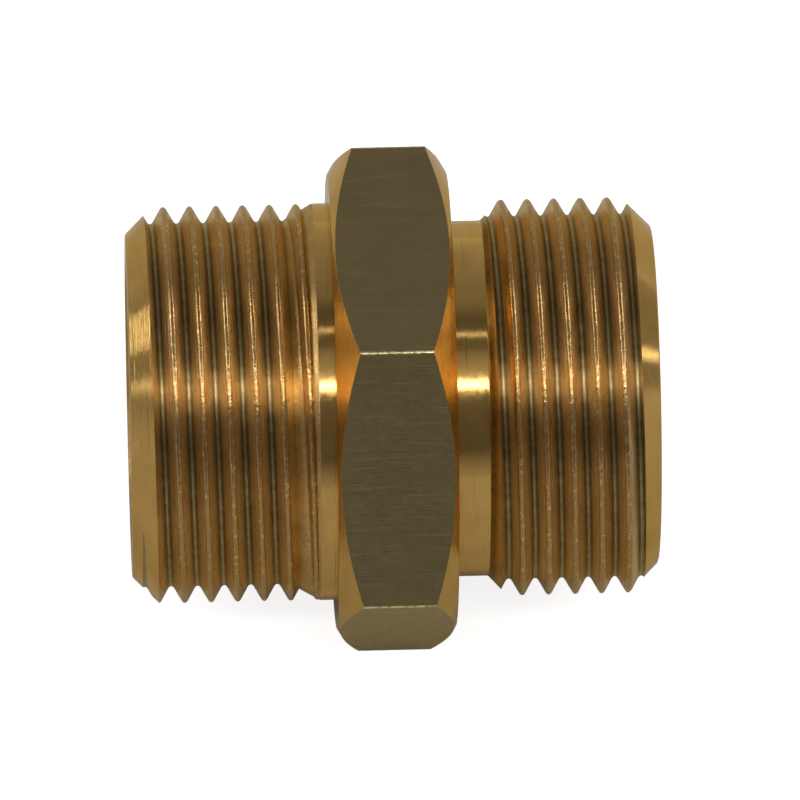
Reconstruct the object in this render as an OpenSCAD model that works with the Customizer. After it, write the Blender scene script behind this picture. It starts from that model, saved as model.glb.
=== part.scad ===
// Hex nipple: one piece of brass bar, with a male metric thread at each end of a hexagon.
// The axis runs along +X, one flat of the hexagon faces down (-Z), and the origin is on the
// axis at the middle of the hexagon. Sizes are in millimetres.

/* [Hexagon] */
// Width across the flats, which is the spanner size
hex_af = 35; // [32:0.5:60]
// Length of the hexagon along the axis
hex_l = 9; // [5:0.5:30]
// How far in from the flats the round end face of the hexagon lies
hex_face_inset = 0.4; // [0.1:0.1:1.2]
// Angle of the corner chamfer against the end face, in degrees
hex_chamfer_angle = 30; // [15:1:45]

/* [Threads] */
// Nominal diameter of both threads, which stays inside the hexagon's round end faces
thread_d = 30; // [20:1:33]
// Pitch of both threads
pitch = 2; // [1:0.25:3]
// How far under the nominal diameter the thread is cut
allowance = 0.16; // [0:0.02:0.4]
// Angle round the axis where the left crest would cross the middle of the hexagon
left_start = 200; // [0:5:355]
// The same angle for the right crest
right_start = 300; // [0:5:355]

/* [Left end] */
// Length of the left end, from the hexagon to the tip
left_l = 15.3; // [10:0.1:40]
// Length of the plain shank beside the hexagon
shank_l = 1.2; // [0.4:0.1:4]
// How far the plain shank stands over the crests, as a radius
shank_rise = 0.03; // [0.02:0.01:0.1]
// Length over which the last groove runs out to the shank
runout_l = 2.2; // [1:0.1:4]
// Chamfer at the left tip, the same along the axis and across it
left_chamfer = 2; // [1:0.1:3]

/* [Right end] */
// Length of the right end, from the hexagon to the tip
right_l = 15.3; // [10:0.1:40]
// Length of the plain relief neck beside the hexagon
neck_l = 2.5; // [1:0.1:5]
// How far the neck lies under the thread root, as a radius
neck_depth = 0.3; // [0.1:0.05:1]
// Length of the sloping flank from the neck to the crests
neck_flank_l = 1.4; // [0.8:0.1:3]
// Chamfer at the right tip, the same along the axis and across it
right_chamfer = 2.2; // [1:0.1:3]

/* [Bore] */
// Wall of the tube, from the thread's nominal diameter to the bore
tube_wall = 5; // [4.5:0.25:12]
// Chamfer at both mouths of the bore
mouth_chamfer = 0.6; // [0.2:0.1:1]

/* [Hidden] */

brass = [0.62, 0.47, 0.22];

// Straight steps in one turn of the thread
turn_steps = 60;
// Sides of a round shape as it is previewed
$fn = 120;
// How far a cutting shape runs past what it cuts
over = 1;

// 60 degree metric form: the sharp height, and the depth down to the root
flank_angle = 30;
sharp_h = pitch / 2 / tan(flank_angle);
thread_depth = sharp_h * 17 / 24;
crest_w = pitch / 8;
flank_w = thread_depth * tan(flank_angle);

crest_r = (thread_d - allowance) / 2;
root_r = crest_r - thread_depth;
shank_r = crest_r + shank_rise;
neck_r = root_r - neck_depth;
// The blank stays clear of the crests, so that only its chamfers and flank trim the thread
blank_r = crest_r + over / 2;

bore_d = thread_d - 2 * tube_wall;

hex_corner_r = hex_af / 2 / cos(30);
hex_face_r = hex_af / 2 - hex_face_inset;
hex_end = hex_l / 2;
left_tip = -hex_end - left_l;
right_tip = hex_end + right_l;
left_face_r = crest_r - left_chamfer;
right_face_r = crest_r - right_chamfer;

// Corners of one pitch of the thread, as [along the axis, radius], from the middle of a crest
thread_form = [
    [-crest_w / 2, crest_r],
    [crest_w / 2, crest_r],
    [crest_w / 2 + flank_w, root_r],
    [pitch - crest_w / 2 - flank_w, root_r]
];

// Turns an outline of [radius, along the axis] points about the part's axis
module turned(outline) {
    rotate([0, 90, 0])
        rotate_extrude()
            polygon(outline);
}

// A right-hand threaded rod. The middle of its crest starts at x_from and ends at x_to, and would
// cross x = 0 at the angle start. Each turn shares its edge with the next, so the rod is one
// closed solid. A fan of triangles from a point on the axis closes each end.
module threaded_rod(x_from, x_to, start) {
    corners = len(thread_form);
    steps = ceil((x_to - x_from) / pitch * turn_steps);
    edge_points = steps + turn_steps + 1;
    function at(step, corner) = let (
            x = x_from + pitch * step / turn_steps,
            angle = start + 360 * x / pitch,
            r = thread_form[corner][1]
        ) [x + thread_form[corner][0], r * cos(angle), r * sin(angle)];
    // The last corner of a turn is the first corner of the next turn
    function id(step, corner) =
        corner == 0 ? step :
        corner == corners ? step + turn_steps :
        edge_points + step * (corners - 1) + corner - 1;
    first_tip = edge_points + (steps + 1) * (corners - 1);
    last_tip = first_tip + 1;
    edge = [for (step = [0 : edge_points - 1]) at(step, 0)];
    rest = [for (step = [0 : steps], corner = [1 : corners - 1]) at(step, corner)];
    tips = [[edge[0][0], 0, 0], [edge[edge_points - 1][0], 0, 0]];
    wall = [
        for (step = [0 : steps - 1], corner = [0 : corners - 1])
            each [
                [id(step, corner), id(step, corner + 1), id(step + 1, corner + 1)],
                [id(step, corner), id(step + 1, corner + 1), id(step + 1, corner)]
            ]
    ];
    first_cap = [
        for (step = [0 : turn_steps - 1]) [first_tip, id(step, 0), id(step + 1, 0)],
        for (corner = [0 : corners - 1]) [first_tip, id(0, corner + 1), id(0, corner)]
    ];
    last_cap = [
        for (step = [steps : steps + turn_steps - 1]) [last_tip, id(step + 1, 0), id(step, 0)],
        for (corner = [0 : corners - 1]) [last_tip, id(steps, corner), id(steps, corner + 1)]
    ];
    polyhedron(concat(edge, rest, tips), concat(wall, first_cap, last_cap));
}

// The hexagon, with the corners of both ends turned down to a cone
module hexagon() {
    slope = tan(hex_chamfer_angle);
    cone_r = hex_corner_r + over;
    cone_l = (cone_r - hex_face_r) * slope;
    intersection() {
        rotate([0, 90, 0])
            rotate([0, 0, 30])
                cylinder(h = hex_l, r = hex_corner_r, center = true, $fn = 6);
        turned([
            [0, -hex_end],
            [hex_face_r, -hex_end],
            [cone_r, cone_l - hex_end],
            [cone_r, hex_end - cone_l],
            [hex_face_r, hex_end],
            [0, hex_end]
        ]);
    }
}

// The left end: thread with a chamfered tip, which runs out into a plain shank
module left_end() {
    shank_start = -hex_end - shank_l;
    chamfer_top = left_tip + left_chamfer + blank_r - crest_r;
    intersection() {
        threaded_rod(left_tip - 1.25 * pitch, -hex_end + pitch / 4, left_start);
        turned([
            [0, left_tip],
            [left_face_r, left_tip],
            [blank_r, chamfer_top],
            [blank_r, 0],
            [0, 0]
        ]);
    }
    turned([
        [0, shank_start - runout_l - over],
        [root_r - over, shank_start - runout_l - over],
        [root_r - over / 4, shank_start - runout_l * (1 + over / 4 / thread_depth)],
        [shank_r, shank_start],
        [shank_r, 0],
        [0, 0]
    ]);
}

// The right end: a relief neck beside the hexagon, then thread to a chamfered tip
module right_end() {
    neck_end = hex_end + neck_l;
    flank_slope = neck_flank_l / (crest_r - neck_r);
    flank_top = neck_end + (blank_r - neck_r) * flank_slope;
    chamfer_top = right_tip - right_chamfer - (blank_r - crest_r);
    intersection() {
        threaded_rod(hex_end - 1.25 * pitch, right_tip + pitch / 4, right_start);
        turned([
            [0, 0],
            [neck_r, 0],
            [neck_r, neck_end],
            [blank_r, flank_top],
            [blank_r, chamfer_top],
            [right_face_r, right_tip],
            [0, right_tip]
        ]);
    }
}

// The through bore, with a chamfer at each mouth
module bore() {
    bore_r = bore_d / 2;
    mouth_r = bore_r + mouth_chamfer + over;
    turned([
        [0, left_tip - over],
        [mouth_r, left_tip - over],
        [bore_r, left_tip + mouth_chamfer],
        [bore_r, right_tip - mouth_chamfer],
        [mouth_r, right_tip + over],
        [0, right_tip + over]
    ]);
}

module nipple_body() {
    color(brass)
        difference() {
            union() {
                hexagon();
                left_end();
                right_end();
            }
            bore();
        }
}

nipple_body();
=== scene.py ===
import math

import bmesh
import bpy
from mathutils import Matrix, Vector, noise


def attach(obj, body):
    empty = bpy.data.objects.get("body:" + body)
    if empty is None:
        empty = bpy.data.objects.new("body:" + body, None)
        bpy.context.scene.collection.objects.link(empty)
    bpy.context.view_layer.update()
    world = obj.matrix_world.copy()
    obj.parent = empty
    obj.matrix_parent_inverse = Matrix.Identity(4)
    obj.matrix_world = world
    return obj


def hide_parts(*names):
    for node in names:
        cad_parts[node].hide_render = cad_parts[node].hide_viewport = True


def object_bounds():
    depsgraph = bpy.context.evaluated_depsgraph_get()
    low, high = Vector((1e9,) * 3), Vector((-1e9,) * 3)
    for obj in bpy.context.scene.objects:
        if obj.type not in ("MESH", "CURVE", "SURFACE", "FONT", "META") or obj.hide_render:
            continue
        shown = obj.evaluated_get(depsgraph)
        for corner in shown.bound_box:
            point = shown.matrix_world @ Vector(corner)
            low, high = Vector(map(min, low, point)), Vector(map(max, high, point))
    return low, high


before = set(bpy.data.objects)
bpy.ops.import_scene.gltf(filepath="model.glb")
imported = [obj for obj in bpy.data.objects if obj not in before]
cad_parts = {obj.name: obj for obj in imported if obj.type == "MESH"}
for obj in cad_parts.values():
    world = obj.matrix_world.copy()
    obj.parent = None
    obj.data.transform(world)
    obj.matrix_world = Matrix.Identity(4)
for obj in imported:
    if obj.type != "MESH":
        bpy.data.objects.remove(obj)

cad_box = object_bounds()
scene = bpy.context.scene
MM = 0.001


# The bar: hexagonal brass bar drawn to 35 mm across the flats, cut to length and turned
# down from both ends, so that only a short hexagon of it is left in the middle. Its
# corners are turned down to a cone at both ends. The flats keep their dull drawn skin.

hex_af, hex_l = 35.0, 9.0
hex_face_inset = 0.4
hex_chamfer_angle = math.radians(30)
hex_end = hex_l / 2
hex_corner_r = hex_af / 2 / math.cos(math.pi / 6)
hex_face_r = hex_af / 2 - hex_face_inset
ridge_round, hex_edge_round = 0.13, 0.06
# How far a cutting shape stands past the surface it cuts
over = 1.0

# The finishes of the nipple, in the order of its material slots
finishes = ["drawn_flats", "turned_faces", "thread_faces", "dull_cuts"]
finish_materials = [bpy.data.materials.new(name) for name in finishes]


def wire(tree, source, target):
    """Joins an output socket to an input socket."""
    tree.links.new(source, target)


def reckon(tree, operation, *values):
    """A Math node fed by numbers or sockets, and its output."""
    node = tree.nodes.new("ShaderNodeMath")
    node.operation = operation
    for socket, value in zip(node.inputs, values):
        if isinstance(value, (int, float)):
            socket.default_value = value
        else:
            tree.links.new(value, socket)
    return node.outputs[0]


def band(tree, value, low, high, to_low=0.0, to_high=1.0):
    """Follows a value smoothly from to_low at low to to_high at high."""
    node = tree.nodes.new("ShaderNodeMapRange")
    node.interpolation_type = "SMOOTHSTEP"
    tree.links.new(value, node.inputs["Value"])
    ends = {"From Min": low, "From Max": high, "To Min": to_low, "To Max": to_high}
    for name, number in ends.items():
        node.inputs[name].default_value = number
    return node.outputs["Result"]


def blend(tree, factor, first, second):
    """Mixes two colours, each a colour or a socket."""
    node = tree.nodes.new("ShaderNodeMix")
    node.data_type = "RGBA"
    # The colour inputs of a Mix node come after those for numbers and vectors
    factor_in, first_in, second_in, colour_out = 0, 6, 7, 2
    for number, value in ((factor_in, factor), (first_in, first), (second_in, second)):
        if isinstance(value, tuple):
            node.inputs[number].default_value = (*value, 1)
        else:
            tree.links.new(value, node.inputs[number])
    return node.outputs[colour_out]


def grain(tree, vector, scale, detail, rough):
    """A noise from 0 to 1 over the coordinates given."""
    node = tree.nodes.new("ShaderNodeTexNoise")
    node.inputs["Scale"].default_value = scale
    node.inputs["Detail"].default_value = detail
    node.inputs["Roughness"].default_value = rough
    tree.links.new(vector, node.inputs["Vector"])
    return node.outputs["Fac"]


def stretched(tree, vector, scale):
    """The coordinates multiplied along each axis, so that a noise over them becomes lines."""
    node = tree.nodes.new("ShaderNodeVectorMath")
    node.operation = "MULTIPLY"
    tree.links.new(vector, node.inputs[0])
    node.inputs[1].default_value = scale
    return node.outputs[0]


def new_group(name, vectors_in, **outputs):
    """An empty node group with the sockets named, and its two end nodes."""
    group = bpy.data.node_groups.new(name, "ShaderNodeTree")
    for socket in vectors_in:
        group.interface.new_socket(socket, in_out="INPUT", socket_type="NodeSocketVector")
    for socket, kind in outputs.items():
        group.interface.new_socket(socket, in_out="OUTPUT", socket_type="NodeSocket" + kind)
    return group, group.nodes.new("NodeGroupInput"), group.nodes.new("NodeGroupOutput")


# Place: where a point lies in millimetres. Bar is along and across the bar, Radius the
# distance from its axis, and Rings runs across the rings that turning leaves.
place, _, ends_out = new_group("Place", [], Radius="Float", Rings="Vector", Bar="Vector")
object_at = place.nodes.new("ShaderNodeTexCoord").outputs["Object"]
in_mm = stretched(place, object_at, (1 / MM, 1 / MM, 1 / MM))
parts = place.nodes.new("ShaderNodeSeparateXYZ")
wire(place, in_mm, parts.inputs[0])
from_axis = place.nodes.new("ShaderNodeCombineXYZ")
wire(place, parts.outputs["Y"], from_axis.inputs["Y"])
wire(place, parts.outputs["Z"], from_axis.inputs["Z"])
length = place.nodes.new("ShaderNodeVectorMath")
length.operation = "LENGTH"
wire(place, from_axis.outputs[0], length.inputs[0])
radius = length.outputs["Value"]
# The rings change a little on the way round, as the tool chatters
chatter = 0.03
rings = place.nodes.new("ShaderNodeCombineXYZ")
wire(place, reckon(place, "ADD", parts.outputs["X"], radius), rings.inputs["X"])
for axis in "YZ":
    wire(place, reckon(place, "MULTIPLY", parts.outputs[axis], chatter), rings.inputs[axis])
wire(place, radius, ends_out.inputs["Radius"])
wire(place, rings.outputs[0], ends_out.inputs["Rings"])
wire(place, in_mm, ends_out.inputs["Bar"])

# Marks: fine lines over coarser ones, with a few deeper scores
fine_share, coarse_share, score_share = 0.7, 0.5, 0.35
marks, ends_in, ends_out = new_group("Marks", ["Lines"], Height="Float", Scores="Float")
fine = grain(marks, ends_in.outputs["Lines"], 9.0, 3.0, 0.6)
coarse = grain(marks, ends_in.outputs["Lines"], 2.2, 2.0, 0.5)
scores = band(marks, grain(marks, ends_in.outputs["Lines"], 5.0, 1.0, 0.5), 0.62, 0.72)
height = reckon(marks, "ADD", reckon(marks, "MULTIPLY", fine, fine_share),
                reckon(marks, "MULTIPLY", coarse, coarse_share))
height = reckon(marks, "SUBTRACT", height, reckon(marks, "MULTIPLY", scores, score_share))
wire(marks, height, ends_out.inputs["Height"])
wire(marks, scores, ends_out.inputs["Scores"])

# Tarnish: soft brown patches about 5 mm across, with a finer mottle in them
tarnish, ends_in, ends_out = new_group("Tarnish", ["Bar"], Patches="Float", Mottle="Float")
patches = grain(tarnish, ends_in.outputs["Bar"], 0.22, 3.0, 0.6)
mottle = grain(tarnish, ends_in.outputs["Bar"], 1.6, 4.0, 0.7)
wire(tarnish, band(tarnish, patches, 0.35, 0.68), ends_out.inputs["Patches"])
wire(tarnish, band(tarnish, mottle, 0.35, 0.7), ends_out.inputs["Mottle"])


def brass_finish(name):
    """Makes a finish a metal, and places the three groups in it."""
    material = finish_materials[finishes.index(name)]
    material.use_nodes = True
    tree = material.node_tree
    shader = tree.nodes["Principled BSDF"]
    shader.inputs["Metallic"].default_value = 1.0
    shader.inputs["Specular Tint"].default_value = (1.0, 0.86, 0.58, 1)
    at, lines, brown = (tree.nodes.new("ShaderNodeGroup") for _ in range(3))
    at.node_tree, lines.node_tree, brown.node_tree = place, marks, tarnish
    wire(tree, at.outputs["Bar"], brown.inputs["Bar"])
    return tree, shader, at, lines, brown


def toned(tree, factor, strength, colour, toward):
    """A colour moved toward another, by no more than the strength where the factor is 1."""
    return blend(tree, reckon(tree, "MULTIPLY", factor, strength), colour, toward)


def relief(tree, shader, height, micrometres):
    """Turns a height into a bump on the shader's normal."""
    bump = tree.nodes.new("ShaderNodeBump")
    bump.inputs["Strength"].default_value = 1.0
    bump.inputs["Distance"].default_value = micrometres * MM / 1000
    wire(tree, height, bump.inputs["Height"])
    wire(tree, bump.outputs["Normal"], shader.inputs["Normal"])


# Drawn flats: dull olive brown, with the drawing lines along the bar, and bright worn
# metal with a painted highlight, broken by nicks, on the corners between them
worn_shine_from, worn_shine_full = 20.125, 20.15
tree, shader, at, lines, brown = brass_finish("drawn_flats")
wire(tree, stretched(tree, at.outputs["Bar"], (0.05, 1, 1)), lines.inputs["Lines"])
olive = blend(tree, brown.outputs["Patches"], (0.345, 0.262, 0.12), (0.305, 0.24, 0.115))
olive = blend(tree, band(tree, lines.outputs["Height"], 0.35, 0.8, 0.0, 0.35), olive,
              (0.24, 0.185, 0.09))
olive = toned(tree, lines.outputs["Scores"], 0.25, olive, (0.44, 0.35, 0.17))
olive = toned(tree, brown.outputs["Mottle"], 0.25, olive, (0.26, 0.20, 0.10))
# Painted highlight and wear: the ridges are painted as bright metal, broken into dots by the nicks
nicks = band(tree, grain(tree, at.outputs["Bar"], 1.9, 3.0, 0.7), 0.38, 0.55, 0.25, 1.0)
corner = reckon(tree, "MULTIPLY", band(tree, at.outputs["Radius"], worn_shine_from, worn_shine_full), nicks)
wire(tree, blend(tree, corner, olive, (0.88, 0.74, 0.40)), shader.inputs["Base Color"])
wire(tree, band(tree, brown.outputs["Mottle"], 0.0, 1.0, 0.30, 0.40), shader.inputs["Roughness"])
relief(tree, shader, lines.outputs["Height"], 12)

# Turned faces: golden, with the rings that the tool's feed leaves
tree, shader, at, lines, brown = brass_finish("turned_faces")
wire(tree, at.outputs["Rings"], lines.inputs["Lines"])
gold = blend(tree, brown.outputs["Patches"], (0.70, 0.43, 0.13), (0.60, 0.36, 0.11))
gold = toned(tree, lines.outputs["Scores"], 0.3, gold, (0.40, 0.24, 0.08))
wire(tree, gold, shader.inputs["Base Color"])
wire(tree, band(tree, brown.outputs["Mottle"], 0.0, 1.0, 0.10, 0.14), shader.inputs["Roughness"])
relief(tree, shader, lines.outputs["Height"], 15)


def as_solid(name, bm, finish):
    """An object from a finished bmesh, with one of the finishes on all its faces."""
    mesh = bpy.data.meshes.new(name)
    for face in bm.faces:
        face.material_index = finishes.index(finish)
    bm.to_mesh(mesh)
    bm.free()
    for material in finish_materials:
        mesh.materials.append(material)
    made = bpy.data.objects.new(name, mesh)
    scene.collection.objects.link(made)
    return made


def combine(solid, operation, other, solver="MANIFOLD"):
    """Cuts, joins or trims a solid with another one, which is then removed."""
    cut = solid.modifiers.new(operation, "BOOLEAN")
    cut.operation, cut.object, cut.solver = operation, other, solver
    evaluated = solid.evaluated_get(bpy.context.evaluated_depsgraph_get())
    done = bpy.data.meshes.new_from_object(evaluated)
    solid.modifiers.clear()
    solid.data = done
    bpy.data.objects.remove(other)
    return solid


def chain(bm, points):
    """Vertices at the points given, joined into one open line."""
    verts = [bm.verts.new(point) for point in points]
    for pair in zip(verts, verts[1:]):
        bm.edges.new(pair)
    return verts


def rounded_spin(name, outline, finish, corner=0.0, steps=240):
    """A solid turned about X from (x, radius) corners that start and end on the axis."""
    bm = bmesh.new()
    points = chain(bm, [(x, 0, r) for x, r in outline])
    if corner:
        bmesh.ops.bevel(bm, geom=points[1:-1], offset=corner, segments=4, profile=0.5,
                        affect="VERTICES", material=-1)
    bmesh.ops.spin(bm, geom=bm.verts[:] + bm.edges[:], cent=(0, 0, 0), axis=(1, 0, 0),
                   dvec=(0, 0, 0), angle=2 * math.pi, steps=steps, use_merge=True)
    bmesh.ops.remove_doubles(bm, verts=bm.verts, dist=0.001)
    bmesh.ops.recalc_face_normals(bm, faces=bm.faces)
    return as_solid(name, bm, finish)


bm = bmesh.new()
bmesh.ops.create_cone(bm, cap_ends=True, segments=6, radius1=hex_corner_r, radius2=hex_corner_r,
                      depth=hex_l + 2 * over)
bmesh.ops.rotate(bm, verts=bm.verts, cent=(0, 0, 0), matrix=Matrix.Rotation(math.pi / 2, 3, "Y"))
ridges = [e for e in bm.edges if abs(e.verts[0].co.x - e.verts[1].co.x) > hex_l]
bmesh.ops.bevel(bm, geom=ridges, offset=ridge_round, segments=3, profile=0.5, affect="EDGES",
                material=-1)
nipple = as_solid("brass_nipple", bm, "drawn_flats")

cone_r = hex_corner_r + over
cone_l = (cone_r - hex_face_r) * math.tan(hex_chamfer_angle)
chamfers = rounded_spin("chamfers", [
    (-hex_end, 0), (-hex_end, hex_face_r), (cone_l - hex_end, cone_r),
    (hex_end - cone_l, cone_r), (hex_end, hex_face_r), (hex_end, 0)],
    "turned_faces", corner=hex_edge_round)
combine(nipple, "INTERSECT", chamfers, "EXACT")


# The threads: M30 x 2, right hand, single-point cut on a turned blank. The left one runs
# out into a plain shank beside the hexagon, and the right one starts from a relief neck.
# The tool tears the brass a little, and the roots are painted dark as shade.

thread_d, pitch, allowance = 30.0, 2.0, 0.16
# The angles at which the crests would cross x = 0
left_start, right_start = 200.0, 300.0
sharp_h = pitch / 2 / math.tan(math.pi / 6)
thread_depth = sharp_h * 17 / 24
crest_r = (thread_d - allowance) / 2
root_r = crest_r - thread_depth
crest_round, root_round = 0.28, sharp_h / 6
blank_r = crest_r + over / 2
blank_round, shank_round = 0.12, 0.1

# Thread: golden brown, torn and burred by the tool, with painted shade in the dull roots and on the
# crests, and painted glints on worn spots of the crests
root_from, root_to = 13.68, 14.1
crest_from, crest_full = 14.6, 14.86
flank_mid, smooth_from, torn_full = 14.3, 14.7, 14.8
tree, shader, at, lines, brown = brass_finish("thread_faces")
wire(tree, at.outputs["Rings"], lines.inputs["Lines"])
orange = blend(tree, brown.outputs["Patches"], (0.75, 0.54, 0.29), (0.65, 0.46, 0.24))
orange = toned(tree, brown.outputs["Mottle"], 0.25, orange, (0.46, 0.32, 0.17))
root = band(tree, at.outputs["Radius"], root_from, root_to, 1.0, 0.0)
# Painted shade: the roots are darkened where the groove lies in shade
root_shade = reckon(tree, "MULTIPLY", root, band(tree, brown.outputs["Mottle"], 0.0, 1.0, 0.75, 1.0))
orange = blend(tree, root_shade, orange, (0.24, 0.185, 0.095))
burr = grain(tree, at.outputs["Bar"], 2.4, 3.0, 0.7)
crest = band(tree, at.outputs["Radius"], crest_from, crest_full)
# Painted shade: the crests are darkened to the shaded look of the flanks, in an orange that turns
# their glints golden
orange = toned(tree, crest, 0.85, orange, (0.42, 0.25, 0.09))
# Painted glints and wear: bright metal in spots along the crests
rubbed_and_glint = reckon(tree, "MULTIPLY", crest, band(tree, burr, 0.57, 0.62))
orange = toned(tree, rubbed_and_glint, 0.7, orange, (0.90, 0.61, 0.24))
wire(tree, orange, shader.inputs["Base Color"])
rough = band(tree, at.outputs["Radius"], flank_mid, smooth_from, 0.28, 0.21)
wire(tree, rough, shader.inputs["Roughness"])
torn = band(tree, at.outputs["Radius"], flank_mid, torn_full, 0.35, 1.6)
torn = reckon(tree, "MULTIPLY", burr, torn)
relief(tree, shader, reckon(tree, "ADD", lines.outputs["Height"], torn), 20)


def threaded_rod(name, x_from, x_to, start, steps=216):
    """A closed right-hand threaded rod whose crest would cross x = 0 at the angle start."""
    first = -pitch * start / 360
    first += pitch * math.floor((x_from - pitch - first) / pitch)
    turns = math.ceil((x_to - first) / pitch) + 1
    bm = bmesh.new()
    crest_tip, root_tip = crest_r + crest_round, root_r - root_round
    halfway = (crest_tip + root_tip) / 2
    points = chain(bm, [(first - pitch / 4, halfway, 0), (first, crest_tip, 0),
                        (first + pitch / 2, root_tip, 0), (first + 3 * pitch / 4, halfway, 0)])
    for point, rounding in ((points[1], crest_round), (points[2], root_round)):
        bmesh.ops.bevel(bm, geom=[point], offset=rounding * math.sqrt(3), segments=6, profile=0.5,
                        affect="VERTICES", material=-1)
    bmesh.ops.spin(bm, geom=bm.verts[:] + bm.edges[:], cent=(0, 0, 0), axis=(1, 0, 0),
                   dvec=(pitch / steps, 0, 0), angle=2 * math.pi, steps=steps)
    one_turn = bm.verts[:] + bm.edges[:] + bm.faces[:]
    for turn in range(1, turns):
        copied = bmesh.ops.duplicate(bm, geom=one_turn)["geom"]
        moved = [g for g in copied if isinstance(g, bmesh.types.BMVert)]
        bmesh.ops.translate(bm, verts=moved, vec=(turn * pitch, 0, 0))
    bmesh.ops.remove_doubles(bm, verts=bm.verts, dist=0.01)
    # The tool drags and rolls the crests a little, so they are never quite even
    crest_zone, sink, drag = 0.3, 0.022, 0.02
    for vert in bm.verts:
        out = math.hypot(vert.co.y, vert.co.z)
        if out > crest_r - crest_zone:
            uneven = noise.noise(vert.co * 1.3) + 0.6 * noise.noise(vert.co * 3.1)
            sunk = 1 - sink * (1 + uneven) / out
            vert.co = (vert.co.x + drag * noise.noise(vert.co * 1.7 + Vector((5, 0, 0))),
                       vert.co.y * sunk, vert.co.z * sunk)
    middle = first + pitch * turns / 2
    for side, end in ((-1, first), (1, first + pitch * turns)):
        rim = [e for e in bm.edges if e.is_boundary and (e.verts[0].co.x - middle) * side > 0]
        pulled = bmesh.ops.extrude_edge_only(bm, edges=rim)["geom"]
        tips = [g for g in pulled if isinstance(g, bmesh.types.BMVert)]
        bmesh.ops.pointmerge(bm, verts=tips, merge_co=(end, 0, 0))
    bmesh.ops.recalc_face_normals(bm, faces=bm.faces)
    return as_solid(name, bm, "thread_faces")


left_l, left_chamfer = 15.3, 2.0
shank_l, shank_rise, runout_l = 1.2, 0.03, 2.2
left_tip = -hex_end - left_l
left_face_r = crest_r - left_chamfer
shank_r = crest_r + shank_rise
shank_start = -hex_end - shank_l

left_end = threaded_rod("left_end", left_tip, -hex_end, left_start)
blank = rounded_spin("left_blank", [
    (left_tip, 0), (left_tip, left_face_r), (left_tip + left_chamfer + over / 2, blank_r),
    (0, blank_r), (0, 0)], "turned_faces", corner=blank_round)
combine(left_end, "INTERSECT", blank)
shank = rounded_spin("shank", [
    (shank_start - runout_l - over, 0), (shank_start - runout_l - over, root_r - over),
    (shank_start - runout_l * (1 + over / 4 / thread_depth), root_r - over / 4),
    (shank_start, shank_r), (0, shank_r), (0, 0)], "turned_faces", corner=shank_round)
combine(left_end, "UNION", shank)

right_l, right_chamfer = 15.3, 2.2
neck_l, neck_depth, neck_flank_l = 2.5, 0.3, 1.4
right_tip = hex_end + right_l
right_face_r = crest_r - right_chamfer
neck_r = root_r - neck_depth
neck_end = hex_end + neck_l
flank_top = neck_end + (blank_r - neck_r) * neck_flank_l / (crest_r - neck_r)

right_end = threaded_rod("right_end", 0.0, right_tip, right_start)
blank = rounded_spin("right_blank", [
    (0, 0), (0, neck_r), (neck_end, neck_r), (flank_top, blank_r),
    (right_tip - right_chamfer - over / 2, blank_r), (right_tip, right_face_r), (right_tip, 0)],
    "turned_faces", corner=blank_round)
combine(right_end, "INTERSECT", blank)
combine(nipple, "UNION", left_end)
combine(nipple, "UNION", right_end)


# The bore: drilled and reamed right through, with a small chamfer at each mouth. It leaves
# a wall of 5 mm under the thread's nominal diameter, and is browner than the outside.

tube_wall, mouth_chamfer = 5.0, 0.6
bore_r = thread_d / 2 - tube_wall
mouth_r = bore_r + mouth_chamfer + over

# Dull cuts: the reamed bore and the run-out, browner than the turned faces
tree, shader, at, lines, brown = brass_finish("dull_cuts")
wire(tree, at.outputs["Rings"], lines.inputs["Lines"])
dark = blend(tree, brown.outputs["Patches"], (0.60, 0.38, 0.14), (0.46, 0.285, 0.105))
dark = toned(tree, lines.outputs["Scores"], 0.35, dark, (0.34, 0.21, 0.08))
wire(tree, dark, shader.inputs["Base Color"])
wire(tree, band(tree, brown.outputs["Mottle"], 0.0, 1.0, 0.26, 0.34), shader.inputs["Roughness"])
relief(tree, shader, lines.outputs["Height"], 20)

drill = rounded_spin("drill", [
    (left_tip - over, 0), (left_tip - over, mouth_r), (left_tip + mouth_chamfer, bore_r),
    (right_tip - mouth_chamfer, bore_r), (right_tip + over, mouth_r), (right_tip + over, 0)],
    "dull_cuts")
combine(nipple, "DIFFERENCE", drill)

sharp_from = math.radians(28)
bm = bmesh.new()
bm.from_mesh(nipple.data)
bmesh.ops.remove_doubles(bm, verts=bm.verts, dist=0.002)
bmesh.ops.dissolve_degenerate(bm, edges=bm.edges, dist=0.001)
# The sloping end of the neck is torn like the thread that meets it, and the run-out is dull
slopes = {"thread_faces": (neck_end, flank_top), "dull_cuts": (shank_start - runout_l, shank_start)}
for face in bm.faces:
    face.smooth = True
    at_x = face.calc_center_median().x
    if face.material_index == finishes.index("turned_faces"):
        for finish, (low, high) in slopes.items():
            if low < at_x < high:
                face.material_index = finishes.index(finish)
for edge in bm.edges:
    edge.smooth = edge.is_manifold and edge.calc_face_angle(0) < sharp_from
bmesh.ops.scale(bm, verts=bm.verts, vec=(MM, MM, MM))
bm.to_mesh(nipple.data)
bm.free()
even = nipple.modifiers.new("even_shading", "WEIGHTED_NORMAL")
even.keep_sharp = True
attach(nipple, "root")
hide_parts("nipple_body")


# The floor: a plain pale table top that the lower flat of the hexagon rests on. It looks
# white, and throws only a little light back up at the brass.

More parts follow.
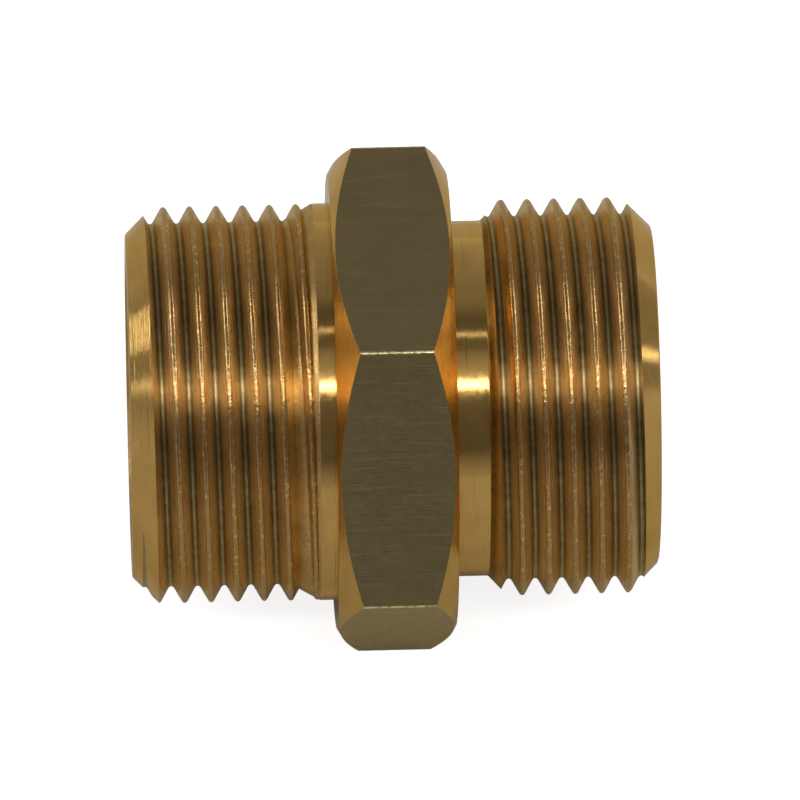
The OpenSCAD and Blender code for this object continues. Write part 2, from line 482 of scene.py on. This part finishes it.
bm = bmesh.new()
bmesh.ops.create_grid(bm, x_segments=1, y_segments=1, size=3.0)
bmesh.ops.translate(bm, verts=bm.verts, vec=(0, 0, cad_box[0].z))
mesh = bpy.data.meshes.new("floor")
bm.to_mesh(mesh)
bm.free()
floor = bpy.data.objects.new("floor", mesh)
scene.collection.objects.link(floor)
paper = bpy.data.materials.new("pale_paper")
paper.use_nodes = True
tree = paper.node_tree
shader = tree.nodes["Principled BSDF"]
shader.inputs["Base Color"].default_value = (0.58, 0.58, 0.57, 1)
shader.inputs["Roughness"].default_value = 0.9
shader.inputs["Specular IOR Level"].default_value = 0.1
shader.inputs["Emission Color"].default_value = (1, 1, 1, 1)
glow_on_brass, glow_in_view = 0.04, 0.84
seen = tree.nodes.new("ShaderNodeLightPath").outputs["Is Camera Ray"]
wire(tree, band(tree, seen, 0.0, 1.0, glow_on_brass, glow_in_view), shader.inputs["Emission Strength"])
mesh.materials.append(paper)


# The studio: a white tent with a bright strip above the camera, a thin one overhead, and a
# darker gap in front, so that the round faces show narrow highlights between dark bands.
# Windows at both sides light the chamfers and the flanks of the threads.

lamp_distance = 1.2


def lamp(name, power, width, height, direction):
    """An area light in the given direction from the nipple, turned to face it."""
    data = bpy.data.lights.new(name, "AREA")
    data.shape, data.size, data.size_y, data.energy = "RECTANGLE", width, height, power
    made = bpy.data.objects.new(name, data)
    made.location = Vector(direction).normalized() * lamp_distance
    made.rotation_euler = made.location.to_track_quat("Z", "Y").to_euler()
    scene.collection.objects.link(made)


lamp("left_window", 1.8, 0.34, 0.62, (-0.84, 0.33, 0.42))
lamp("left_upper_window", 1.5, 0.30, 0.42, (-0.86, -0.09, 0.50))
lamp("left_front_window", 0.055, 0.07, 0.10, (-0.99, 0.08, 0.06))
lamp("right_window", 1.8, 0.34, 0.62, (0.82, 0.37, 0.42))
lamp("right_upper_window", 1.5, 0.30, 0.42, (0.86, -0.09, 0.50))
lamp("right_front_window", 0.05, 0.07, 0.10, (0.97, 0.2, 0.1))

world = bpy.data.worlds.new("room")
scene.world = world
world.use_nodes = True
tree = world.node_tree
sky = tree.nodes["Background"]
split = tree.nodes.new("ShaderNodeSeparateXYZ")
wire(tree, tree.nodes.new("ShaderNodeTexCoord").outputs["Generated"], split.inputs[0])
toward_front = reckon(tree, "MULTIPLY", split.outputs["Y"], -1.0)
turned_by = reckon(tree, "ARCTAN2", split.outputs["Z"], toward_front)
ramp = tree.nodes.new("ShaderNodeValToRGB")
wire(tree, reckon(tree, "DIVIDE", turned_by, math.pi), ramp.inputs["Fac"])
# Brightness of the room at each angle up from the front, over the top and down behind
room = [(0, 0.36), (9, 0.24), (16, 0.12), (48, 0.15), (54, 0.22), (56, 0.9), (57.2, 9.5),
        (60.2, 9.5), (61.5, 1.5), (64, 0.6), (70, 0.42), (78, 0.30), (83, 0.14), (90.4, 0.13),
        (91.2, 1.4), (92.6, 1.4), (93.4, 0.12), (104, 0.12), (114, 0.24), (142, 0.32),
        (167, 0.42), (180, 0.55)]
steps_of = ramp.color_ramp.elements
while len(steps_of) < len(room):
    steps_of.new(0.5)
for element, (angle, bright) in zip(steps_of, room):
    element.position = angle / 180
    element.color = (bright, bright, bright, 1)
side_wall = (0.26, 0.26, 0.26)
sideways = band(tree, reckon(tree, "ABSOLUTE", split.outputs["X"]), 0.5, 0.9)
around = blend(tree, sideways, ramp.outputs["Color"], side_wall)
seen = tree.nodes.new("ShaderNodeLightPath").outputs["Is Camera Ray"]
wire(tree, blend(tree, seen, around, (1.0, 1.0, 1.0)), sky.inputs["Color"])
scene.view_settings.view_transform = "Standard"


# The camera: a long lens from the front, half way up to overhead, tipped very slightly.

camera_azimuth, camera_elevation, camera_roll = -2.5, 50.0, -0.62
camera_distance = 1.139
frame_width, image_width = 0.0603, 800
pixels_aside = 8.9
aside = pixels_aside / image_width * frame_width
lens = bpy.data.cameras.new("camera")
lens.sensor_width = 36.0
lens.lens = lens.sensor_width * camera_distance / frame_width
camera = bpy.data.objects.new("camera", lens)
turn = (Matrix.Rotation(math.radians(camera_azimuth), 4, "Z")
        @ Matrix.Rotation(math.radians(90 - camera_elevation), 4, "X")
        @ Matrix.Rotation(math.radians(-camera_roll), 4, "Z"))
camera.matrix_world = turn @ Matrix.Translation((aside, 0, camera_distance))
scene.collection.objects.link(camera)
scene.camera = camera
